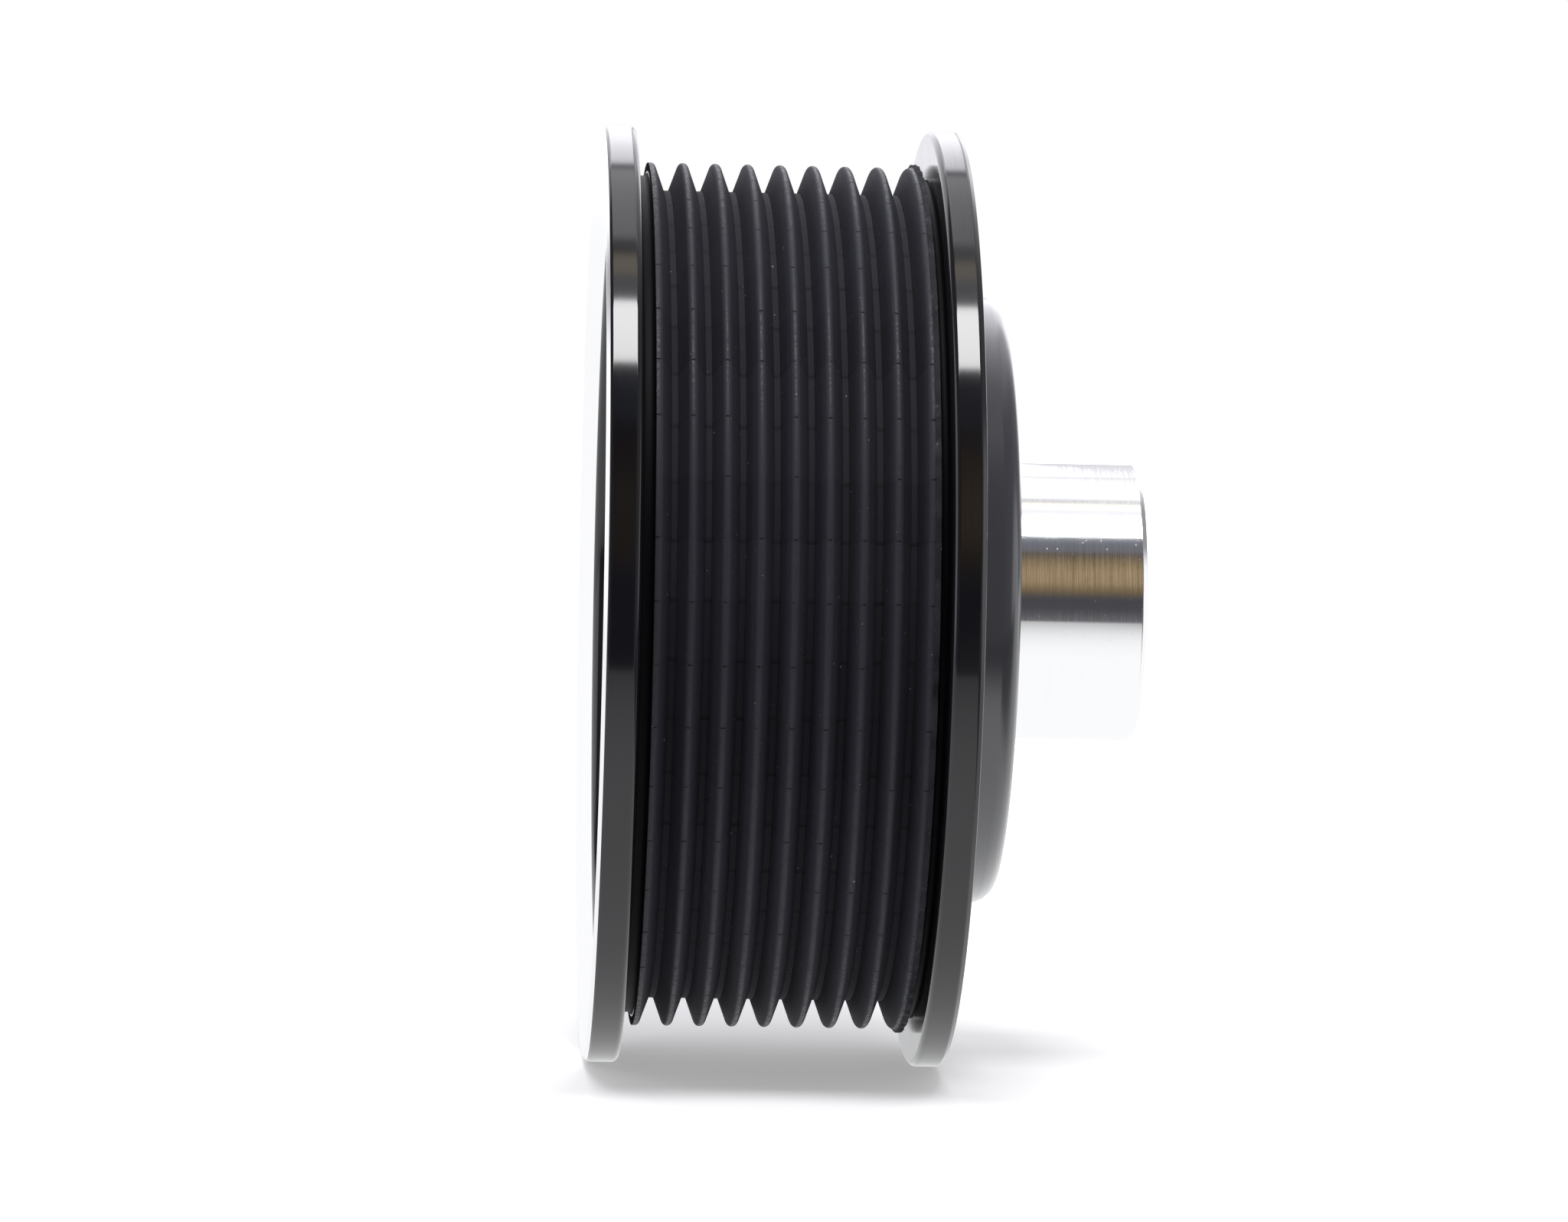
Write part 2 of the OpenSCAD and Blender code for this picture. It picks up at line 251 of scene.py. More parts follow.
def rounded(corners, arc_step=22.5, support=0.05):
    """A half section's points from its corners (radius, place along the axis, rounding), in millimetres.
    Each straight length gets a point close to both of its roundings, which keeps its shading straight."""
    count = len(corners)
    spots = [Vector(corner[:2]) for corner in corners]
    ways = [(spots[(k + 1) % count] - spots[k]).normalized() for k in range(count)]
    turns = [ways[k - 1].angle(ways[k], 0.0) for k in range(count)]
    trims = [corners[k][2] * math.tan(turns[k] / 2) for k in range(count)]
    points = []
    for k in range(count):
        rounding, here, back, on = corners[k][2], spots[k], -ways[k - 1], ways[k]
        if not rounding:
            points.append(here)
            continue
        first, last = here + back * trims[k], here + on * trims[k]
        middle = here + (back + on).normalized() * math.hypot(trims[k], rounding)
        arm, end = first - middle, last - middle
        sweep = math.atan2(arm.cross(end), arm.dot(end))
        steps = max(2, math.ceil(abs(math.degrees(sweep)) / arc_step))
        if (spots[k - 1] - here).length - trims[k - 1] - trims[k] > 3 * support:
            points.append(first + back * support)
        points += [middle + Matrix.Rotation(sweep * i / steps, 2) @ arm for i in range(steps + 1)]
        if (spots[(k + 1) % count] - here).length - trims[(k + 1) % count] - trims[k] > 3 * support:
            points.append(last + on * support)
    return points


def drawing(name, *sections):
    """Loose edges for a tree to work on: (points, closed, is a rib) for each section."""
    verts, edges, ribs = [], [], []
    for points, closed, rib in sections:
        base, count = len(verts), len(points)
        verts += [(p.x * MM, p.y * MM, 0.0) for p in points]
        edges += [(base + i, base + i + 1) for i in range(count - 1)]
        edges += [(base + count - 1, base)] if closed else []
        ribs += [rib] * count
    mesh = bpy.data.meshes.new(name)
    mesh.from_pydata(verts, edges, [])
    mesh.attributes.new("rib", "BOOLEAN", "POINT").data.foreach_set("value", ribs)
    return mesh


def new_tree(name, **inputs):
    """An empty Geometry Nodes tree with named inputs, and the wires that they give."""
    tree = bpy.data.node_groups.new(name, "GeometryNodeTree")
    tree.interface.new_socket("Geometry", in_out="OUTPUT", socket_type="NodeSocketGeometry")
    for label, kind in {"Drawing": "Geometry", **inputs}.items():
        tree.interface.new_socket(label.replace("_", " "), in_out="INPUT",
                                  socket_type="NodeSocket" + kind)
    group = tree.nodes.new("NodeGroupInput")
    return tree, Wire(tree), {s.name: Wire(tree, s) for s in group.outputs if s.name}


def turned_once(start, section, steps):
    """Sweeps a section round the spin axis and marks its corners sharp."""
    ring = start.node("GeometryNodeCurvePrimitiveCircle", None, {"Resolution": steps, "Radius": 1.0})
    section = start.node("GeometryNodeTransform", None,
                         {"Geometry": section, "Translation": (-1.0, 0.0, 0.0)})
    section = start.node("GeometryNodeMeshToCurve", None, {0: section})
    swept = start.node("GeometryNodeCurveToMesh", None, {"Curve": ring, "Profile Curve": section})
    swept = start.node("GeometryNodeTransform", None,
                       {"Geometry": swept, "Rotation": (math.pi / 2, 0.0, 0.0)})
    swept = start.node("GeometryNodeSetShadeSmooth", {"domain": "FACE"}, {0: swept, 2: True})
    corner = start.node("GeometryNodeInputMeshEdgeAngle") > math.radians(32.0)
    return start.node("GeometryNodeSetShadeSmooth", {"domain": "EDGE"}, {0: swept, 1: corner, 2: False})


def close_tree(start, shape, *finishes):
    """Ends a tree in Realize Instances and Set Material; a finish after the first has its faces chosen."""
    shape = start.node("GeometryNodeRealizeInstances", None, {0: shape})
    for finish, chosen in finishes:
        shape = start.node("GeometryNodeSetMaterial", None,
                           {"Geometry": shape, "Material": finish, "Selection": chosen})
    end = start.tree.nodes.new("NodeGroupOutput")
    start.tree.links.new(shape.socket, end.inputs[0])


def made_piece(name, mesh, tree, **values):
    """Runs a tree on a drawing and keeps what it makes as a plain mesh."""
    piece = bpy.data.objects.new(name, mesh)
    bpy.context.scene.collection.objects.link(piece)
    modifier = piece.modifiers.new("shape", "NODES")
    modifier.node_group = tree
    for socket in tree.interface.items_tree:
        label = socket.name.replace(" ", "_")
        if socket.in_out == "INPUT" and label in values:
            modifier[socket.identifier] = values[label]
    evaluated = piece.evaluated_get(bpy.context.evaluated_depsgraph_get())
    result = bpy.data.meshes.new_from_object(evaluated)
    piece.modifiers.clear()
    piece.data = result
    shell = bmesh.new()
    shell.from_mesh(result)
    bmesh.ops.remove_doubles(shell, verts=shell.verts, dist=1e-7)
    bmesh.ops.recalc_face_normals(shell, faces=shell.faces)
    shell.to_mesh(result)
    shell.free()
    result.name = name
    return piece


# One rib period: half a crest, a groove and half the next crest, with a point close to each crest's arc.
flank = math.radians(groove_angle / 2)
rib_half = (crest_round * math.cos(flank)
            + (groove_depth - crest_round + crest_round * math.sin(flank)) * math.tan(flank))
crest_steps, crest_support = 4, 0.08
crest_arc = [math.radians(90) - flank - (math.radians(90) - flank) * i / crest_steps
             for i in range(crest_steps + 1)]
crest_middle = crest_r - crest_round
crest_flank = Vector((crest_middle + crest_round * math.sin(flank), crest_round * math.cos(flank)))
crest_flank += crest_support * Vector((-math.cos(flank), math.sin(flank)))
rib_period = (
    [Vector((crest_middle + crest_round * math.cos(a), crest_round * math.sin(a)))
     for a in reversed(crest_arc)]
    + [Vector((crest_flank.x, crest_flank.y)), Vector((groove_floor, rib_half)),
       Vector((groove_floor, groove_pitch - rib_half)),
       Vector((crest_flank.x, groove_pitch - crest_flank.y))]
    + [Vector((crest_middle + crest_round * math.cos(a), groove_pitch - crest_round * math.sin(a)))
       for a in crest_arc])
rib_period = [Vector((p.x, p.y + first_crest)) for p in rib_period]

# The rest of the half section, from the last crest over the rear flange, boss, bore, hub and front flange.
body_section = rounded([
    (crest_r, last_crest, 0), (crest_r, land_front, 0), (land_r, land_front, 0), (land_r, land_back, 0),
    (relief_floor, land_back, 0.4), (relief_floor, rear_wall, 0.4),
    (flange_r - lead_in, rear_wall, 0.6), (flange_r, rear_wall + lead_in, 0.6),
    (flange_r, rear_face - rim_edge, 0.3), (flange_r - rim_edge, rear_face, 0.3),
    (boss_r, rear_face, 0.4), (boss_end_r, boss_end, boss_round), (boss_opening, boss_end, 0.3),
    (boss_opening, bearing_seat, 0), (bearing_bore, bearing_seat, 0),
    (bearing_bore, ring_groove_back, 0), (ring_groove_r, ring_groove_back, 0),
    (ring_groove_r, ring_groove_front, 0), (bearing_bore, ring_groove_front, 0),
    (bearing_bore, hub_front, 0.4), (hub_r, hub_front, hub_round), (hub_r, web_front, web_fillet),
    (recess_floor_r, web_front, web_fillet), (recess_r, recess_mouth, mouth_round),
    (flange_r - rim_edge, front_face, 0.1), (flange_r, front_face + rim_edge, 0.5),
    (flange_r, front_wall - lead_in, 0.6), (flange_r - lead_in, front_wall, 0.6),
    (relief_floor, front_wall, 0.5), (relief_floor, track_front, 0.5),
    (crest_r, track_front, 0.06), (crest_r, first_crest, 0)])

tree, start, given = new_tree("Ribbed body", Steps_round="Int", Groove_count="Int", Groove_pitch="Float",
                              Land_raggedness="Float", Land_radius="Float", Land_front="Float",
                              Track_middle="Float", Track_half_width="Float", Track_floor="Float",
                              Rim_cut="Float", Face_cut="Float", Face_radius="Float",
                              Recess_radius="Float", Relief_half_width="Float", Relief_radius="Float",
                              Gloss="Material", Ribs="Material", Cut="Material", Relief="Material")
is_rib = start.node("GeometryNodeInputNamedAttribute", {"data_type": "BOOLEAN"}, {"Name": "rib"})
rib, rest_of_body = (
    start.node("GeometryNodeSeparateGeometry", {"domain": "POINT"},
               {"Geometry": given["Drawing"], "Selection": is_rib}, output) for output in range(2))
pitch = start.node("ShaderNodeCombineXYZ", None, {1: given["Groove pitch"]})
row = start.node("GeometryNodeMeshLine", {"mode": "OFFSET"},
                 {"Count": given["Groove count"], "Offset": pitch})
ribs = start.node("GeometryNodeInstanceOnPoints", None, {"Points": row, "Instance": rib})
ribs = start.node("GeometryNodeRealizeInstances", None, {0: ribs})
join = start.tree.nodes.new("GeometryNodeJoinGeometry")
for part in (rest_of_body, ribs):
    start.tree.links.new(part.socket, join.inputs[0])
section = start.node("GeometryNodeMergeByDistance", None,
                     {"Geometry": Wire(start.tree, join.outputs[0]), "Distance": 2e-6})
body = turned_once(start, section, given["Steps round"])
place = start.node("GeometryNodeInputPosition")
x, y, z = place.parts()
radius = (x * x + z * z).math("SQRT")
chips = start.noise(place, 1400.0, 2.0, 0.6).ramp(0.42, 0.68) * given["Land raggedness"]
off_middle = (y - given["Track middle"]).math("ABSOLUTE")
in_track = off_middle < given["Track half width"] + 1e-5
on_land = (radius > given["Land radius"]) * (y > given["Land front"]) * in_track
inwards = start.node("ShaderNodeCombineXYZ", None,
                     {0: (0.0 - x) * chips / radius, 2: (0.0 - z) * chips / radius})
body = start.node("GeometryNodeSetPosition", None,
                  {"Geometry": body, "Selection": on_land, "Offset": inwards})
outside = radius > given["Track floor"]
on_track = in_track * outside
# Faces in the relief grooves get the duller finish that paints their shade.
on_relief = ((1.0 - in_track) * (off_middle < given["Relief half width"]) * outside
             * (radius < given["Relief radius"]))
on_face = (radius > given["Recess radius"]) * (radius < given["Face radius"]) * (y < given["Face cut"])
on_cut = (on_face + (y < given["Rim cut"])) > 0.5
close_tree(start, body, (given["Gloss"], True), (given["Ribs"], on_track), (given["Cut"], on_cut),
           (given["Relief"], on_relief))

pulley_body = made_piece(
    "pulley_body_turned", drawing("pulley_section", (body_section, False, False), (rib_period, False, True)),
    tree, Steps_round=400, Groove_count=groove_count, Groove_pitch=groove_pitch * MM,
    Land_raggedness=0.4 * MM, Land_radius=(crest_r + 0.2) * MM, Land_front=(land_front - 0.035) * MM,
    Track_middle=(track_front + land_back) / 2 * MM, Track_half_width=(land_back - track_front) / 2 * MM,
    Track_floor=(groove_floor - 0.2) * MM, Rim_cut=(front_face + 0.475) * MM,
    Face_cut=(recess_mouth + 0.425) * MM, Face_radius=(flange_r - 0.5) * MM,
    Recess_radius=(recess_r + 0.85) * MM, Relief_half_width=16.3 * MM,
    Relief_radius=(relief_floor + 0.3) * MM,
    Gloss=black_gloss, Ribs=matte_ribs, Cut=bright_cut, Relief=relief_black)
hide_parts("pulley_body")
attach(pulley_body, "pulley")

# Spacer. A bare aluminium bush, turned bright in one setting: the stand-off that sets the pulley's
# distance from the bracket, and a thinner sleeve that both bearings are pushed onto.
bare_aluminium, shader, start = new_finish("bare_turned_aluminium", Metallic=1.0)
place, radius, along, turn = turned_places(start)
fine = lathe_lines(start, radius, along, turn, 14.0)
broad = lathe_lines(start, radius, along, turn, 1.6)
specks = start.noise(place, 3600.0, 1.0).ramp(0.74, 0.80)
feed(shader,
     Base_Color=(broad * 0.6 + fine * 0.4).colour_between((0.955, 0.955, 0.96, 1), (1.0, 1.0, 1.0, 1)),
     Roughness=0.05 + fine * 0.07 + specks * 0.2,
     Normal=bumps(start, fine + broad * 0.6 + specks * 0.8, 0.10, 0.00003))

turned_tree, start, given = new_tree("Turned piece", Steps_round="Int", Finish="Material")
close_tree(start, turned_once(start, given["Drawing"], given["Steps round"]), (given["Finish"], True))


def turned_piece(name, corners, finish, node, body, steps_round=256):
    """Turns one closed half section and puts it in its node's place."""
    piece = made_piece(name, drawing(name, (rounded(corners), True, False)), turned_tree,
                       Steps_round=steps_round, Finish=finish)
    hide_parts(node)
    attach(piece, body)


bore_r, sleeve_r, standoff_r, bush_edge = 5.25, 10.0, 15.2, 0.5
sleeve_front, standoff_end = -6.125, 40.275
turned_piece("spacer_turned", [
    (bore_r + bush_edge, sleeve_front, 0.1), (sleeve_r - bush_edge, sleeve_front, 0.1),
    (sleeve_r, sleeve_front + bush_edge, 0.1), (sleeve_r, bearing_seat, 0),
    (standoff_r - bush_edge, bearing_seat, 0.08), (standoff_r, bearing_seat + bush_edge, 0.08),
    (standoff_r, standoff_end - bush_edge, 0.12), (standoff_r - bush_edge, standoff_end, 0.12),
    (bore_r + bush_edge, standoff_end, 0.12), (bore_r, standoff_end - bush_edge, 0.12),
    (bore_r, sleeve_front + bush_edge, 0.1)],
    bare_aluminium, "spacer", "spacer", 320)

# Bearing rings. Each bearing has an outer ring pressed into the pulley's bore and an inner ring on the
# spacer's sleeve, of hardened steel with ground faces and a polished raceway between their shoulders.
ground_steel, shader, start = new_finish("ground_bearing_steel", Metallic=1.0)
place, radius, along, turn = turned_places(start)
grinding = lathe_lines(start, radius, along, turn, 11.0)
oil_film = start.noise(place, 260.0, 3.0)
feed(shader,
     Base_Color=oil_film.colour_between((0.50, 0.51, 0.53, 1), (0.62, 0.63, 0.65, 1)),
     Roughness=0.16 + grinding * 0.14 + oil_film * 0.06,
     Normal=bumps(start, grinding, 0.10, 0.00003))

ball_pitch_r, race_r, race_steps, half_width, ring_edge = 18.0, 4.8125, 8, 7.5, 0.8
outer_shoulder, inner_shoulder, seal_seat, seal_step = 20.85, 15.15, 22.4, 1.7
bearings = {"front": 1.075, "rear": 16.075}


def raceway(shoulder, middle, way):
    """The groove that the balls run in, from one shoulder to the other, as corners with no rounding."""
    spread = math.acos(abs(shoulder - ball_pitch_r) / race_r)
    side = math.copysign(1.0, shoulder - ball_pitch_r)
    turns = [way * spread * (1 - i / race_steps) for i in range(2 * race_steps + 1)]
    return [(ball_pitch_r + side * race_r * math.cos(t), middle + race_r * math.sin(t), 0) for t in turns]


for side, middle in bearings.items():
    front, back = middle - half_width, middle + half_width
    turned_piece(f"{side}_outer_ring_ground", [
        (seal_seat, front, 0.1), (bearing_bore, front, ring_edge), (bearing_bore, back, ring_edge),
        (seal_seat, back, 0.1), (seal_seat, back - seal_step, 0),
        (outer_shoulder, back - seal_step, 0.1), *raceway(outer_shoulder, middle, 1),
        (outer_shoulder, front + seal_step, 0.1), (seal_seat, front + seal_step, 0)],
        ground_steel, f"{side}_outer_ring", "pulley")
    turned_piece(f"{side}_inner_ring_ground", [
        (sleeve_r, front, ring_edge), (inner_shoulder, front, 0.15),
        *raceway(inner_shoulder, middle, -1),
        (inner_shoulder, back, 0.15), (sleeve_r, back, ring_edge)],
        ground_steel, f"{side}_inner_ring", "spacer")

# Balls and cages. Seven polished chrome-steel balls run in each bearing, and a cage of pressed steel
# keeps them evenly apart.
polished_steel, shader, start = new_finish("polished_ball_steel", Metallic=1.0)
grease = start.noise(object_place(start), 420.0, 3.0)
feed(shader,
     Base_Color=grease.colour_between((0.62, 0.63, 0.65, 1), (0.74, 0.75, 0.77, 1)),
     Roughness=0.04 + grease * 0.05)

pressed_steel, shader, start = new_finish("pressed_cage_steel", Metallic=1.0)
rolled = start.noise(object_place(start), 1600.0, 3.0, 0.6)
feed(shader,
     Base_Color=rolled.colour_between((0.36, 0.37, 0.38, 1), (0.48, 0.49, 0.50, 1)),
     Roughness=0.28 + rolled * 0.16,
     Normal=bumps(start, rolled, 0.15, 0.00004))

ball_tree, start, given = new_tree("Ball row", Ball_count="Int", Pitch_radius="Float", Ball_radius="Float",
                                   Middle="Float", Finish="Material")
circle = start.node("GeometryNodeMeshCircle", None,
                    {"Vertices": given["Ball count"], "Radius": given["Pitch radius"]})
ball = start.node("GeometryNodeMeshIcoSphere", None, {"Radius": given["Ball radius"], "Subdivisions": 5})
row = start.node("GeometryNodeInstanceOnPoints", None, {"Points": circle, "Instance": ball})
row = start.node("GeometryNodeTransform", None, {
    "Geometry": row, "Rotation": (math.pi / 2, -math.pi / 2, 0.0),
    "Translation": start.node("ShaderNodeCombineXYZ", None, {1: given["Middle"]})})
row = start.node("GeometryNodeRealizeInstances", None, {0: row})
row = start.node("GeometryNodeSetShadeSmooth", {"domain": "FACE"}, {0: row, 2: True})
close_tree(start, row, (given["Finish"], True))

ball_count, ball_r = 7, 4.7625
for side, middle in bearings.items():
    balls = made_piece(f"{side}_balls_polished", bpy.data.meshes.new("balls"), ball_tree,
                       Ball_count=ball_count, Pitch_radius=ball_pitch_r * MM, Ball_radius=ball_r * MM,
                       Middle=middle * MM, Finish=polished_steel)
    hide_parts(f"{side}_balls")
    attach(balls, "ball_set")
    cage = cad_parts[f"{side}_cage"]
    cage.data.materials.clear()
    cage.data.materials.append(pressed_steel)

# Seals. Moulded black rubber rings, snapped into the outer rings. The rim is a bead, the middle is flat
# over a stiffening washer, and the thin lip runs beside the inner ring's shoulder.
seal_rubber, shader, start = new_finish("moulded_seal_rubber", IOR=1.5, Metallic=0.0)
place = object_place(start)
bloom = start.noise(place, 320.0, 4.0, 0.6)
pores = start.noise(place, 5200.0, 2.0)
feed(shader,
     Base_Color=bloom.colour_between((0.014, 0.014, 0.015, 1), (0.030, 0.030, 0.031, 1)),
     Roughness=0.42 + bloom * 0.16,
     Normal=bumps(start, pores + bloom * 0.4, 0.18, 0.00003))

lip_r, seal_inner, seal_outer, seal_dip = 15.2, 5.8, 7.2, 6.8
seal_section = [
    (lip_r, seal_inner, 0), (seal_seat, seal_inner, 0), (seal_seat, seal_outer, 0.12),
    (21.7, seal_outer, 0.2), (21.5, seal_dip, 0.1), (20.9, seal_dip, 0.1), (20.5, seal_outer, 0.2),
    (17.6, seal_outer, 0.25), (17.2, seal_dip, 0.15), (16.1, seal_dip, 0.15),
    (15.8, 7.1, 0.12), (lip_r, 7.0, 0.1)]
facings = {"front": (("outside", -1), ("inside", 1)), "rear": (("inside", -1), ("outside", 1))}
for side, middle in bearings.items():
    for facing, way in facings[side]:
        turned_piece(f"{side}_{facing}_seal_moulded",
                     [(r, middle + way * y, rounding) for r, y, rounding in seal_section],
                     seal_rubber, f"{side}_{facing}_seal", "pulley")

# Retaining ring. Spring steel, stamped and phosphated dark, sprung into the groove in front of the
# bearings. Pliers go into the two holes at its gap. Its stamped edges are slightly rounded.
phosphated, shader, start = new_finish("phosphated_spring_steel", Metallic=0.55)
place = object_place(start)
crystals = start.noise(place, 3000.0, 3.0, 0.6)
patches = start.noise(place, 240.0, 3.0)
feed(shader,
     Base_Color=patches.colour_between((0.030, 0.030, 0.032, 1), (0.060, 0.060, 0.064, 1)),
     Roughness=0.36 + crystals * 0.18,
     Normal=bumps(start, crystals, 0.25, 0.00003))
stamped, stamped_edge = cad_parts["retaining_ring"].data.copy(), 0.18 * MM
shell = bmesh.new()
shell.from_mesh(stamped)
bmesh.ops.remove_doubles(shell, verts=shell.verts, dist=1e-6)
bmesh.ops.dissolve_limit(shell, angle_limit=math.radians(1.0), verts=shell.verts, edges=shell.edges)
bmesh.ops.recalc_face_normals(shell, faces=shell.faces)
rims = [e for e in shell.edges if e.is_manifold and e.calc_face_angle() > math.radians(60)]
bmesh.ops.bevel(shell, geom=rims, offset=stamped_edge, segments=2, profile=0.5, affect="EDGES",
                clamp_overlap=True)
for face in shell.faces:
    face.smooth = True
for e in shell.edges:
    e.smooth = not e.is_manifold or e.calc_face_angle() < math.radians(35)
shell.to_mesh(stamped)
shell.free()
stamped.materials.clear()
stamped.materials.append(phosphated)
retaining_ring = bpy.data.objects.new("retaining_ring_stamped", stamped)
bpy.context.scene.collection.objects.link(retaining_ring)
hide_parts("retaining_ring")
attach(retaining_ring, "pulley")

# Studio. The pulley stands on its flanges on a pale table that ends in front of it. A softbox hangs
# over the front, with a pale ceiling and backdrop behind it and an unlit room in front.
front_edge, far, floor_z = 0.22, 4.0, -flange_r * MM
floor_mesh = bpy.data.meshes.new("table")
floor_mesh.from_pydata([(-far, -far, floor_z), (front_edge, -far, floor_z),
                        (front_edge, far, floor_z), (-far, far, floor_z)], [], [(0, 1, 2, 3)])
floor = bpy.data.objects.new("table", floor_mesh)
bpy.context.scene.collection.objects.link(floor)
pale = bpy.data.materials.new("pale_table")
pale.use_nodes = True
start = Wire(pale.node_tree)
ray = {name: start.node("ShaderNodeLightPath", None, None, name)
       for name in ("Is Camera Ray", "Is Glossy Ray", "Is Transmission Ray")}
place = object_place(start)
away = start.node("ShaderNodeVectorMath", {"operation": "LENGTH"}, {0: place}, "Value").ramp(0.12, 0.4)
paper = start.node("ShaderNodeBsdfDiffuse", None, {"Color": (0.8, 0.8, 0.81, 1)})
lift = start.node("ShaderNodeEmission", None,
                  {"Color": (1.0, 1.0, 1.0, 1), "Strength": (0.35 + away * 0.65) * ray["Is Camera Ray"]})
seen = start.node("ShaderNodeAddShader", None, {0: paper, 1: lift})
towards_edge, to_the_right, _ = place.parts()
dim_corner = towards_edge.ramp(0.0, 0.08) * to_the_right.ramp(0.055, 0.085)
white = start.node("ShaderNodeEmission", None, {
    "Color": (0.985, 0.99, 1.0, 1),
    "Strength": towards_edge.ramp(0.05, front_edge, 1.0, 0.55) * (1.0 - dim_corner * 0.75)})
mirrored = ray["Is Glossy Ray"].math("MAXIMUM", ray["Is Transmission Ray"])
table = start.node("ShaderNodeMixShader", None, {0: mirrored, 1: seen, 2: white})
start.tree.links.new(table.socket, start.tree.nodes["Material Output"].inputs["Surface"])
floor_mesh.materials.append(pale)

elevation = math.radians(3.0)
softbox_gap, softbox_rise, softbox_half = 2.5, math.radians(65.6) + elevation, math.radians(8.8)
softbox_watts_per_m2 = 40.0
softbox = bpy.data.lights.new("softbox", "AREA")
softbox.shape = "RECTANGLE"
softbox.size, softbox.size_y = 1.4, 2 * softbox_gap * math.tan(softbox_half)
softbox.energy = softbox_watts_per_m2 * softbox.size * softbox.size_y
lamp = bpy.data.objects.new("softbox", softbox)
towards = Vector((math.cos(softbox_rise), 0.0, math.sin(softbox_rise)))
lamp.matrix_world = Matrix.Translation(towards * softbox_gap) @ Matrix((
    (0.0, -math.sin(softbox_rise), towards.x), (1.0, 0.0, 0.0), (0.0, math.cos(softbox_rise), towards.z)
)).to_4x4()
lamp.visible_camera = False
bpy.context.scene.collection.objects.link(lamp)

# The room that the polished faces mirror: x points at the camera, y to the right along the axis, z up.
world = bpy.data.worlds.new("studio")
bpy.context.scene.world = world
world.use_nodes = True
start = Wire(world.node_tree)
x, y, z = start.node("ShaderNodeTexCoord", None, None, "Generated").parts()
round_axis = (z.math("ARCTAN2", x) - elevation) / math.tau + 0.5
brightest, wood = 4.0, (0.62, 0.46, 0.27)


def room(*stops):
    """What stands round the axis, as colours by the angle above the camera's line in degrees."""
    stops = [(0.5 + angle / 360, [c / brightest for c in colour]) for angle, colour in stops]
    return start.node("ShaderNodeValToRGB", {"stops": stops}, {0: round_axis})


def grey(level, blue=1.05):
    return (level, level, level * blue)


def wooden(level):
    return [level * c for c in wood]


def shade(level):
    """A plain grey for the mixes below, as a share of the brightest."""
    return (*grey(level / brightest), 1.0)


ahead = room(
    (-180, grey(2.0)), (-22, grey(1.0)), (-19, (0.06, 0.06, 0.07)), (4, (0.06, 0.06, 0.07)),
    (9, wooden(0.2)), (24, wooden(0.2)), (40, wooden(0.075)), (43, (0.10, 0.11, 0.14)),
    (58, (0.12, 0.13, 0.17)), (75, (0.75, 0.75, 0.85)), (82, (0.8, 0.8, 0.86)), (85, (1.6, 1.4, 1.1)),
    (89, (1.5, 1.32, 1.05)), (91, grey(0.42, 1.0)), (94, grey(0.42, 1.0)), (97, grey(1.5)),
    (125, grey(1.45)), (128, grey(0.4, 1.1)), (131, grey(3.6)), (146, grey(3.4)), (155, grey(2.7)),
    (163, grey(1.85)), (170, grey(1.35)), (177, grey(1.0)))
past_boss = room(
    (-180, grey(2.0)), (-22, grey(1.0)), (-19, grey(0.30)), (-13, grey(0.20)), (-6, grey(0.075)),
    (2, grey(0.06)), (9, wooden(0.36)), (16, wooden(0.95)), (24, wood), (32, wooden(0.75)),
    (40, (0.22, 0.19, 0.165)), (48, grey(0.18, 1.1)), (56, grey(0.20, 1.1)), (72, grey(1.0)),
    (90, grey(0.98, 1.02)), (97, grey(0.90, 1.02)), (105, grey(0.88, 1.02)), (120, grey(0.90, 1.01)),
    (135, grey(0.72)), (155, grey(0.74)), (177, grey(0.7)))
beside_boss = y.ramp(0.0862, 0.0892) * y.ramp(0.115, 0.135, 1.0, 0.0)
seen_room = beside_boss.colour_between(ahead, past_boss)
grey_side = x.ramp(-0.65, 0.3).colour_between(shade(0.9), shade(0.27))
seen_room = y.ramp(0.2, 0.36).colour_between(seen_room, grey_side)
over_boss = x.ramp(-0.70, -0.48, 1.0, 0.0) * y.ramp(0.12, 0.15) * y.ramp(0.30, 0.42, 1.0, 0.0)
dim_right = y.ramp(0.5, 0.75)
far_right = x.ramp(-0.85, -0.72, 1.0, 0.0) * y.ramp(0.30, 0.40)
right_end = y.ramp(0.90, 0.97)
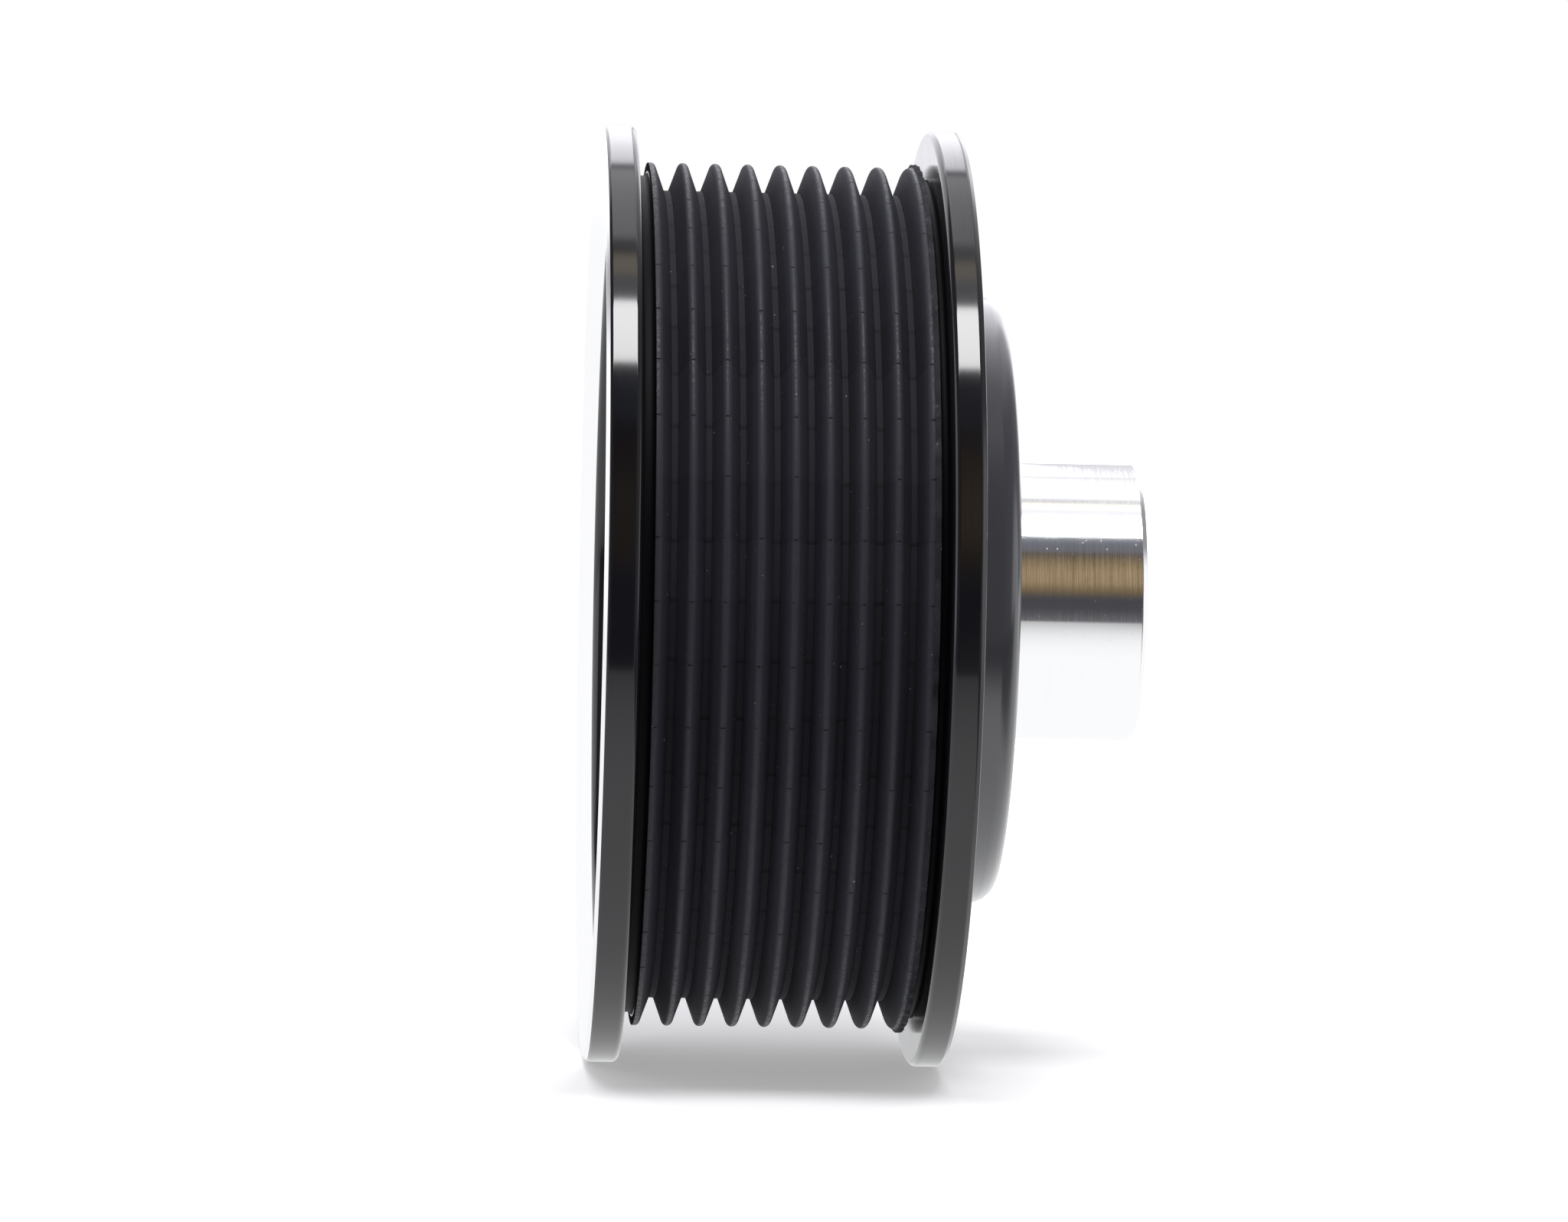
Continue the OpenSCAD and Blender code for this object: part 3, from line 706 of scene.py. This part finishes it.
dim_left = y.ramp(-0.30, -0.12, 1.0, 0.0)
white_side = x.ramp(-0.9, -0.5, 1.0, 0.0) * y.ramp(-0.06, -0.02, 1.0, 0.0)
left_side = (x.ramp(-0.60, -0.46, 1.0, 0.0) * y.ramp(-0.42, -0.2, 1.0, 0.0)
             + y.ramp(-0.9, -0.72, 1.0, 0.0))
for part, level in ((over_boss, 1.6), (dim_right, 0.3), (far_right, 2.0), (right_end, 1.0),
                    (dim_left, 0.15), (white_side, 1.6), (left_side, 1.3)):
    seen_room = part.colour_between(seen_room, shade(level))
lit = start.node("ShaderNodeBackground", None, {"Color": seen_room, "Strength": brightest})
plain = start.node("ShaderNodeBackground", None, {"Color": (1.0, 1.0, 1.0, 1), "Strength": 1.0})
camera_ray = start.node("ShaderNodeLightPath", None, None, "Is Camera Ray")
sky = start.node("ShaderNodeMixShader", None, {0: camera_ray, 1: lit, 2: plain})
start.tree.links.new(sky.socket, start.tree.nodes["World Output"].inputs["Surface"])

# Camera. A long lens square to the axis and a little ahead of the front flange, turned back towards the
# pulley, tipped a little down and rolled by about a degree.
photo_width, photo_height, axis_row = 2048, 1596, 779
focal_px, distance, aside = 8821.5, 0.7424, -40.105 * MM
yaw, roll = math.radians(3.2229), 0.0188
pitch_down = math.atan((photo_height / 2 - axis_row) / focal_px)
camera = bpy.data.cameras.new("camera")
camera.sensor_width = 36.0
camera.lens = focal_px / photo_width * camera.sensor_width
camera.clip_start, camera.clip_end = 0.05, 20.0
view = bpy.data.objects.new("camera", camera)
bpy.context.scene.collection.objects.link(view)
back = Vector((math.cos(elevation), 0.0, math.sin(elevation)))
right = Vector((0.0, 1.0, 0.0))
turned = (Matrix((right, back.cross(right), back)).transposed() @ Matrix.Rotation(-yaw, 3, "Y")
          @ Matrix.Rotation(-pitch_down, 3, "X") @ Matrix.Rotation(roll, 3, "Z"))
view.matrix_world = Matrix.Translation(back * distance + right * aside) @ turned.to_4x4()
bpy.context.scene.camera = view
bpy.context.scene.view_settings.view_transform = "Standard"
